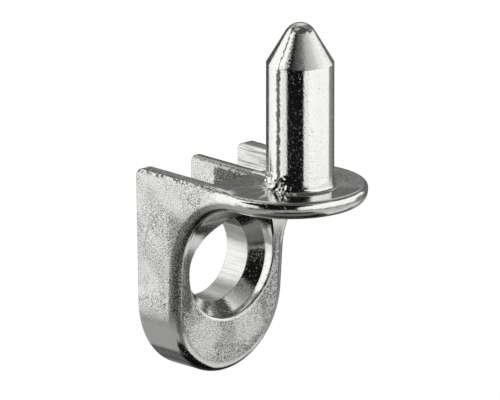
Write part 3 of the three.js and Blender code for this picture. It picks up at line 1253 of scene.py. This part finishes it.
    def relief(self, tree: bpy.types.NodeTree, zones: Sources, skin: Sources,
               pocket: Source) -> Source:
        """Adds the nodes for the height of the peel, the pits, the grain, the waves and the marks.

        Args:
            tree: the material's tree.
            zones: what zones() returns.
            skin: what skin() returns.
            pocket: what pocket() returns.

        Returns:
            The height in millimetres.
        """
        spot, cast = zones["spot"], zones["cast"]
        pit = add_node(tree, "TexNoise", self.pits.values(spot))
        pitted = add_node(tree, "MapRange", self.pit_rise.values(pit))
        flat = add_node(tree, "VectorMath", {"operation": "MULTIPLY", 0: spot, 1: (0.0, 1.0, 1.0)})
        reach = add_node(tree, "VectorMath",
                         {"operation": "DISTANCE", 0: flat, 1: self.mark_centre})
        off = add_node(tree, "Math", {"operation": "SUBTRACT", 0: reach, 1: self.mark_radius})
        ring = add_node(tree, "MapRange", self.mark_step.values(off))
        outside = add_node(tree, "Math",
                           {"operation": "LESS_THAN", 0: zones["x"], 1: self.left_face_x})
        above = add_node(tree, "MapRange", self.mark_low.values(zones["z"]))
        behind = add_node(tree, "MapRange", self.mark_front.values(zones["y"]))
        mark = add_chain(tree, "Math", PRODUCT, (ring, outside, above, behind))
        height = add_node(tree, "Math", {"operation": "ADD", 0: pitted, 1: mark})

        crystals = add_node(tree, "Math", {"operation": "MULTIPLY_ADD", 0: skin["frost"],
                                           1: self.frost_grain, 2: skin["coarse"]})
        level = add_chain(tree, "Math", LARGEST, (zones["top"], pocket))
        plain = add_node(tree, "Math", {"operation": "MULTIPLY", 0: level, 1: self.level_grain})
        strength = add_node(tree, "Math",
                            {"operation": "MULTIPLY_ADD", 0: crystals, 1: cast, 2: plain})
        wave = add_node(tree, "TexNoise", self.waves.values(spot))
        for pattern, depth, share in ((wave, self.wave_depth, cast),
                                      (skin["grain"], self.grain_depth, strength),
                                      (skin["drag"], self.drag_depth, skin["dragged"])):
            deep = add_node(tree, "Math", {"operation": "MULTIPLY", 0: pattern, 1: depth})
            height = add_node(tree, "Math",
                              {"operation": "MULTIPLY_ADD", 0: deep, 1: share, 2: height})
        peel = add_node(tree, "TexNoise", self.peel.values(spot))
        return add_node(tree, "Math", {"operation": "MULTIPLY_ADD", 0: peel, 1: self.peel_depth,
                                       2: height})

    def film_and_painted_shade(self, tree: bpy.types.NodeTree, zones: Sources, skin: Sources,
                 pocket: Source) -> Source:
        """Adds the nodes for the dark colour: the grain's filmed hollows, drag marks, edge specks
        and the bore; painted shadow in the pockets; painted shade on the sweep and the front face's
        sides;
        and a darker band where the sides turn towards the front.

        Args:
            tree: the material's tree.
            zones: what zones() returns.
            skin: what skin() returns.
            pocket: what pocket() returns.

        Returns:
            How much of the dark colour shows, from 0 to 1.
        """
        x, front = zones["x"], zones["front"]
        hollow = add_node(tree, "MapRange", self.hollow_film.values(skin["grain"]))
        face = add_node(tree, "Math", {"operation": "MULTIPLY_ADD", 0: front, 1: self.front_film,
                                       2: skin["coarse"]})
        held = add_chain(tree, "Math", PRODUCT, (hollow, face))
        rough = add_chain(tree, "Math", LARGEST, (zones["cast"], zones["top"]))
        rough = add_node(tree, "Math", {"operation": "SUBTRACT", "use_clamp": True, 0: rough,
                                        1: skin["dragged"]})
        cast = add_chain(tree, "Math", PRODUCT, (held, rough))
        line = add_node(tree, "MapRange", self.drag_film.values(skin["drag"]))
        streaks = add_chain(tree, "Math", PRODUCT, (line, skin["dragged"]))

        # Painted shade along the front face's left strip and right side, lightened in the frosted
        # spots.
        left = add_node(tree, "MapRange", self.strip_painted_shade.values(x))
        high = add_node(tree, "MapRange", self.strip_low.values(zones["z"]))
        strip = add_chain(tree, "Math", PRODUCT, (left, high))
        right = add_node(tree, "MapRange", self.right_painted_shade.values(x))
        edges = add_chain(tree, "Math", LARGEST, (strip, right))
        bright = add_node(tree, "Math", {"operation": "MULTIPLY_ADD", 0: skin["frost"],
                                         1: self.frost_lightening, 2: edges})
        shade = add_chain(tree, "Math", PRODUCT, (bright, front))

        # Painted shadow in the pockets and painted shade on the sweep under the flange.
        patchy = add_node(tree, "MapRange", self.patchy_painted_shade.values(skin["grain"]))
        upright = add_node(tree, "Math", {"operation": "MULTIPLY_ADD", 0: zones["level"],
                                          1: self.level_shade_cut, 2: 1.0})
        sunk = add_chain(tree, "Math", PRODUCT, (pocket, upright))
        dim = add_chain(tree, "Math", LARGEST, (sunk, zones["sweep"]))
        thin = add_chain(tree, "Math", PRODUCT, (patchy, dim))
        # A darker band where the sides turn towards the front.
        band = add_node(tree, "Math",
                        {"operation": "MULTIPLY", 0: zones["corner"], 1: self.corner_darkening})
        specks = add_node(tree, "Math",
                          {"operation": "MULTIPLY", 0: zones["edge"], 1: self.edge_film})
        drawn = add_node(tree, "MapRange", self.bore_film.values(skin["drag"]))
        clouded = add_chain(tree, "Math", PRODUCT, (drawn, zones["bore"]))
        return add_chain(tree, "Math", CLAMPED_SUM,
                         (cast, streaks, shade, thin, band, specks, clouded))

    def roughness(self, tree: bpy.types.NodeTree, zones: Sources, pocket: Source) -> Source:
        """Adds the nodes for the roughness of the polished and the cast faces.

        Args:
            tree: the material's tree.
            zones: what zones() returns.
            pocket: what pocket() returns.

        Returns:
            The roughness.
        """
        dull = add_chain(tree, "Math", LARGEST, (zones["cast"], pocket))
        plain = add_node(tree, "Mix", {"data_type": "FLOAT", 0: dull, 2: self.polish,
                                       3: self.cast_roughness})
        topped = add_node(tree, "Math", {"operation": "MULTIPLY", 0: zones["top"],
                                         1: self.top_roughness - self.polish})
        bored = add_node(tree, "Math",
                         {"operation": "MULTIPLY", 0: zones["bore"], 1: self.bore_roughness})
        return add_chain(tree, "Math", LARGEST, (plain, topped, bored))

    def material(self) -> bpy.types.Material:
        """Makes the plating.

        Returns:
            The material.
        """
        made, tree = new_material("bright_nickel_plated_zinc_casting")
        zones = self.zones(tree)
        skin = self.skin(tree, zones)
        pocket = self.pocket(tree, zones)
        edge = add_node(tree, "Bevel",
                        {"samples": self.edge_samples, "Radius": self.edge_round * MM})
        bump = add_node(tree, "Bump", {"Strength": 1.0, "Distance": MM, "Normal": edge,
                                       "Height": self.relief(tree, zones, skin, pocket)})
        filmed_and_shaded = add_node(tree, "Mix",
                          {"data_type": "RGBA", 0: self.film_and_painted_shade(tree, zones, skin, pocket),
                           6: linear(self.colour), 7: linear(self.film_and_shade)})
        # Painted shade on the sweep under the flange, mixed below with the pin seam's real stain.
        painted_sweep_shade = add_node(tree, "Math",
                          {"operation": "MULTIPLY", 0: zones["sweep"], 1: self.sweep_painted_shade})
        stained = add_chain(tree, "Math", LARGEST, (self.seam(tree, zones), painted_sweep_shade))
        tint = add_node(tree, "Mix",
                        {"data_type": "RGBA", 0: stained, 6: filmed_and_shaded, 7: linear(self.stain_and_shade)})
        shader = add_node(tree, "BsdfPrincipled",
                          {"Metallic": 1.0, "Base Color": tint, "Normal": bump,
                           "Roughness": self.roughness(tree, zones, pocket)})
        add_node(tree, "OutputMaterial", {"Surface": shader})
        return made


# ---------------------------------------------------------------- the whole part


@dataclass
class ShelfSupport:
    """The whole casting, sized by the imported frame."""

    low: Vector
    high: Vector
    finish: NickelPlating = field(default_factory=NickelPlating)
    sharp_angle: float = math.radians(24)

    def build(self) -> bpy.types.Object:
        """Returns:
            The finished object.
        """
        flange = Flange(radius=self.high.x / MM)
        body = Body(half_width=self.high.x / MM, back_y=self.high.y / MM, bottom_z=self.low.z / MM,
                    flange=flange)
        casting = body.build()
        pockets = Pockets(body)
        pockets.cut(casting)
        disc = flange.build()
        pockets.open_into(disc)
        combine(casting, disc, Joining.ADD)
        combine(casting, Pin().build(), Joining.ADD)
        ScrewHole(back_y=body.back_y).cut(casting)
        casting.name = casting.data.name = "nickel_casting"
        self.dress(casting)
        return casting

    def dress(self, casting: bpy.types.Object) -> None:
        """Turns the casting to metres, shades it smooth between its edges and plates it.

        Args:
            casting: the casting in millimetres.
        """
        bm = opened(casting, LOOSE_WELD)
        bmesh.ops.dissolve_degenerate(bm, edges=bm.edges, dist=LOOSE_WELD)
        bm.normal_update()
        for face in bm.faces:
            face.smooth = True
            face.material_index = 0
        for edge in bm.edges:
            edge.smooth = len(edge.link_faces) == 2 and edge.calc_face_angle(0.0) < self.sharp_angle
        LOG.info("open edges: %d", sum(len(e.link_faces) != 2 for e in bm.edges))
        bmesh.ops.scale(bm, vec=(MM, MM, MM), verts=bm.verts)
        close(bm, casting)
        casting.data.materials.clear()
        casting.data.materials.append(self.finish.material())
        weigh = casting.modifiers.new("weighted_normals", "WEIGHTED_NORMAL")
        weigh.mode = "FACE_AREA"
        weigh.keep_sharp = True
        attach(casting, "root")
        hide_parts(NODE)


# ---------------------------------------------------------------- studio


class Tone(Enum):
    """How much light a studio card sends back, as a hex colour."""

    BLACK = "#161616"
    SOOT = "#2C2C2C"
    COAL = "#505050"
    CHARCOAL = "#6C6C6C"
    DARK = "#7C7C7C"
    GREY = "#949494"
    MIST = "#A6A6A6"
    PALE = "#C4C4C4"
    LIGHT = "#DCDCDC"
    PAPER = "#EEEEEE"


class Fade(Enum):
    """Which way a card's tone runs from its first to its second."""

    ACROSS = 0
    UP = 1


@dataclass(frozen=True)
class Card:
    """A curved card round the part, cut to an outline of directions seen from the part.

    A corner is degrees to the right of the direction towards the camera, and degrees above level.
    """

    name: str
    outline: tuple[Place, ...]
    tone: Tone
    second_tone: Tone | None = None
    fade: Fade = Fade.ACROSS
    distance: float = 250.0


@dataclass(frozen=True)
class NearCard:
    """A level card close below the part, with its place in millimetres.

    Forward is towards the camera and across is to the right of it.
    """

    name: str
    height: float
    forward: Place
    across: Place
    tone: Tone


@dataclass(frozen=True)
class Panel:
    """A soft panel lamp that faces the part.

    Its place is degrees to the right of the direction towards the camera and degrees above level,
    its size is in millimetres, and a level of 1 is white.
    """

    name: str
    azimuth: float
    elevation: float
    width: float
    height: float
    level: float
    distance: float = 240.0


def band(left: float, right: float, low: float, high: float) -> tuple[Place, ...]:
    """Draws the outline of a card that covers a plain range of directions.

    Args:
        left: its left end.
        right: its right end.
        low: its lower edge.
        high: its upper edge.

    Returns:
        The four corners.
    """
    return (left, low), (right, low), (right, high), (left, high)


@dataclass
class Studio:
    """A pale floor, soft light and the camera."""

    azimuth: float = math.radians(-43.56)
    elevation: float = math.radians(15.69)
    lens: float = 1200.0
    sensor: float = 36.0
    frame_width: float = 36.55
    aim_right: float = -3.665
    aim_up: float = -1.198
    clip: tuple[float, float] = (0.01, 20.0)
    floor_drop: float = 300.0
    floor_radius: float = 6000.0
    floor_steps: int = 96
    floor_colour: str = "#F4F4F4"
    card_spans: tuple[tuple[int, int], ...] = ((-180, 300), (-90, 90))
    card_step: int = 5
    card_slip: float = 0.5
    panels: tuple[Panel, ...] = (
        Panel("right_panel", 70, 6, 500, 230, 0.2),
        Panel("left_panel", -92, 14, 300, 280, 0.2),
    )
    near_cards: tuple[NearCard, ...] = (
        NearCard("near_front", -22.0, (7.0, 20.0), (-12.0, 17.0), Tone.CHARCOAL),
        NearCard("near_edge", -22.0, (20.0, 30.0), (-12.0, 17.0), Tone.SOOT),
        NearCard("near_left", -22.0, (3.0, 18.0), (-75.0, -14.0), Tone.MIST),
    )
    cards: tuple[Card, ...] = (
        Card("front_flag",
             ((-43, -21), (12, -21), (12, -6), (22, 9), (34, 15), (34, 40), (22, 44), (8, 47),
              (-46, 47), (-60, 41), (-66, 34), (-74, 25), (-77, 6), (-47, -12)), Tone.BLACK),
        Card("brow",
             ((-46, 47), (8, 47), (22, 44), (34, 40), (34, 15), (45, 24), (60, 35), (84, 38),
              (84, 50), (-46, 50)), Tone.BLACK, Tone.PAPER),
        Card("brow_right", ((84, 38), (95, 34), (112, 30), (112, 50), (84, 50)), Tone.COAL),
        Card("crown", band(-46, 112, 50, 90), Tone.COAL),
        Card("crown_edge", band(-80, -46, 52, 66), Tone.COAL),
        Card("crown_left", band(-112, -46, 66, 90), Tone.PALE),
        Card("crown_back", band(112, 248, 66, 90), Tone.CHARCOAL),
        Card("left_brow", band(-128, -82, 44, 66), Tone.GREY),
        Card("back_flag", band(136, 200, -20, 25), Tone.CHARCOAL),
        Card("back_edge", band(200, 228, -20, 18), Tone.COAL),
        Card("back_patch", band(158, 200, 25, 66), Tone.LIGHT),
        Card("back_glow", band(200, 232, 18, 66), Tone.DARK, Tone.LIGHT, Fade.UP),
        Card("back_right", band(112, 158, 25, 66), Tone.CHARCOAL, Tone.GREY, Fade.UP),
        Card("back_foot", band(114, 136, -24, -7), Tone.GREY),
        Card("back_table", band(132, 200, -62, -38), Tone.COAL),
        Card("table_low", band(-8, 40, -61, -45), Tone.DARK),
        Card("table_glow", band(40, 132, -62, -45), Tone.LIGHT),
        Card("left_edge", band(-160, -76, -76, -62), Tone.COAL),
        Card("table_left",
             ((-160, -62), (-8, -62), (-8, -21), (-66, -21), (-80, -27), (-160, -27)), Tone.MIST),
        Card("left_foot", band(-66, -34, -30, -18), Tone.CHARCOAL, distance=249.0),
        Card("back_shelf", band(136, 200, -38, -20), Tone.GREY),
        Card("table_band", band(-8, 34, -45, -24), Tone.CHARCOAL, Tone.PALE),
        Card("table_lit", band(34, 104, -45, -24), Tone.PALE),
        Card("table_right", band(104, 132, -45, -24), Tone.LIGHT),
        Card("table_edge", band(8, 135, -24, -18), Tone.DARK),
        Card("nadir", band(-76, 160, -90, -61), Tone.BLACK),
        Card("nadir_back", band(160, 284, -90, -76), Tone.BLACK),
        Card("back_low", band(160, 200, -76, -62), Tone.COAL),
    )

    def axes(self) -> tuple[Vector, Vector, Vector]:
        """Works out how the camera is turned.

        Returns:
            Its right, up and back directions.
        """
        a, e = self.azimuth, self.elevation
        back = Vector((math.sin(a) * math.cos(e), -math.cos(a) * math.cos(e), math.sin(e)))
        right = Vector((math.cos(a), math.sin(a), 0.0))
        return right, back.cross(right), back

    def camera(self) -> None:
        """Places the camera on a long lens."""
        right, up, back = self.axes()
        data = bpy.data.cameras.new("camera")
        data.lens, data.sensor_width = self.lens, self.sensor
        data.clip_start, data.clip_end = self.clip
        aim = right * self.aim_right + up * self.aim_up
        camera = bpy.data.objects.new("camera", data)
        camera.location = (aim + back * (self.frame_width * self.lens / self.sensor)) * MM
        camera.rotation_mode = "QUATERNION"
        camera.rotation_quaternion = Matrix((right, up, back)).transposed().to_quaternion()
        bpy.context.scene.collection.objects.link(camera)
        bpy.context.scene.camera = camera

    def towards(self, azimuth: float, elevation: float) -> Vector:
        """Turns a direction seen from the part to a vector.

        Args:
            azimuth: degrees to the right of the direction towards the camera.
            elevation: degrees above level.

        Returns:
            The direction.
        """
        turn, rise = self.azimuth - QUARTER + math.radians(azimuth), math.radians(elevation)
        flat = math.cos(rise)
        return Vector((flat * math.cos(turn), flat * math.sin(turn), math.sin(rise)))

    def card(self, card: Card) -> None:
        """Makes one card, which only the part's reflections see.

        Args:
            card: the card's outline and tones.
        """
        bm = bmesh.new()
        bm.faces.new([bm.verts.new((across, up, 0.0)) for across, up in card.outline])
        for axis, ends in enumerate(self.card_spans):
            normal = Vector((1.0 - axis, float(axis), 0.0))
            for place in range(*ends, self.card_step):
                bmesh.ops.bisect_plane(bm, geom=[*bm.verts, *bm.edges, *bm.faces], dist=WELD,
                                       plane_co=normal * (place + self.card_slip),
                                       plane_no=normal)
        fade = bm.verts.layers.float.new("fade")
        spans = [vert.co[card.fade.value] for vert in bm.verts]
        start, length = min(spans), max(spans) - min(spans)
        for vert in bm.verts:
            vert[fade] = (vert.co[card.fade.value] - start) / length
            vert.co = self.towards(vert.co.x, vert.co.y) * card.distance * MM
        self.hide(new_object(bm, card.name), card)

    def near_card(self, card: NearCard) -> None:
        """Lays a level card below the part, which its lower faces reflect and the pin does not.

        Args:
            card: the card's place and tone.
        """
        right = Vector((math.cos(self.azimuth), math.sin(self.azimuth), 0.0))
        forward = Vector((right.y, -right.x, 0.0))
        bm = bmesh.new()
        corners = []
        for ahead, side in ((0, 0), (1, 0), (1, 1), (0, 1)):
            place = forward * card.forward[ahead] + right * card.across[side]
            corners.append(bm.verts.new((place + Vector((0.0, 0.0, card.height))) * MM))
        bm.faces.new(corners)
        bm.verts.layers.float.new("fade")
        self.hide(new_object(bm, card.name), Card(card.name, (), card.tone))

    def hide(self, made: bpy.types.Object, card: Card) -> None:
        """Gives a card its tones and lets nothing but reflections see it.

        Args:
            made: the card's object.
            card: the card's tones.
        """
        paper, tree = new_material(card.name + "_paper")
        fade = add_node(tree, "Attribute", {"attribute_name": "fade"}).outputs["Fac"]
        second = card.second_tone or card.tone
        tone = add_node(tree, "Mix", {"data_type": "RGBA", 0: fade, 6: linear(card.tone.value),
                                      7: linear(second.value)})
        light = add_node(tree, "Emission", {"Strength": 1.0, "Color": tone})
        add_node(tree, "OutputMaterial", {"Surface": light})
        made.data.materials.append(paper)
        made.visible_camera = made.visible_diffuse = made.visible_shadow = False

    def lamp(self, panel: Panel) -> None:
        """Hangs one lamp.

        Args:
            panel: the lamp's place, size and level.
        """
        data = bpy.data.lights.new(panel.name, "AREA")
        data.shape, data.size, data.size_y = "RECTANGLE", panel.width * MM, panel.height * MM
        data.energy = panel.level * math.pi * panel.width * panel.height * MM * MM
        out = self.towards(panel.azimuth, panel.elevation)
        lamp = bpy.data.objects.new(panel.name, data)
        lamp.location = out * panel.distance * MM
        lamp.rotation_mode = "QUATERNION"
        lamp.rotation_quaternion = out.to_track_quat("Z", "Y")
        lamp.visible_camera = False
        bpy.context.scene.collection.objects.link(lamp)

    def floor(self) -> None:
        """Lays the pale floor."""
        bm = bmesh.new()
        bmesh.ops.create_circle(bm, cap_ends=True, segments=self.floor_steps,
                                radius=self.floor_radius * MM)
        bmesh.ops.translate(bm, vec=(0.0, 0.0, -self.floor_drop * MM), verts=bm.verts)
        made = new_object(bm, "floor")
        paint, tree = new_material("pale_floor_paper")
        rays = add_node(tree, "LightPath").outputs
        seen = add_chain(tree, "Math", LARGEST, (rays["Is Camera Ray"], rays["Is Glossy Ray"],
                                                 rays["Is Transmission Ray"]))
        paper = add_node(tree, "BsdfDiffuse", {"Color": linear(self.floor_colour)})
        white = add_node(tree, "Emission", {"Color": WHITE, "Strength": 1.0})
        both = add_node(tree, "MixShader", {0: seen, 1: paper, 2: white})
        add_node(tree, "OutputMaterial", {"Surface": both})
        made.data.materials.append(paint)

    def world(self) -> None:
        """Lights everything softly."""
        made = bpy.data.worlds.new("studio")
        made.use_nodes = True
        tree = made.node_tree
        tree.nodes.clear()
        light = add_node(tree, "Background", {"Color": WHITE, "Strength": 1.0})
        add_node(tree, "OutputWorld", {"Surface": light})
        bpy.context.scene.world = made

    def build(self) -> None:
        """Makes the whole studio."""
        self.camera()
        self.world()
        self.floor()
        for card in self.cards:
            self.card(card)
        for near in self.near_cards:
            self.near_card(near)
        for panel in self.panels:
            self.lamp(panel)
        bpy.context.scene.view_settings.view_transform = "Standard"


def main() -> None:
    """Builds the part and its studio."""
    logging.basicConfig(level=logging.INFO, format="%(name)s: %(message)s")
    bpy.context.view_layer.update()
    low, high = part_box(NODE)
    casting = ShelfSupport(Vector(low), Vector(high)).build()
    LOG.info("%s: %d faces", casting.name, len(casting.data.polygons))
    studio = Studio()
    studio.build()
    LOG.info("studio: %d cards, %d panels", len(studio.cards) + len(studio.near_cards),
             len(studio.panels))


if __name__ == "__main__":
    main()
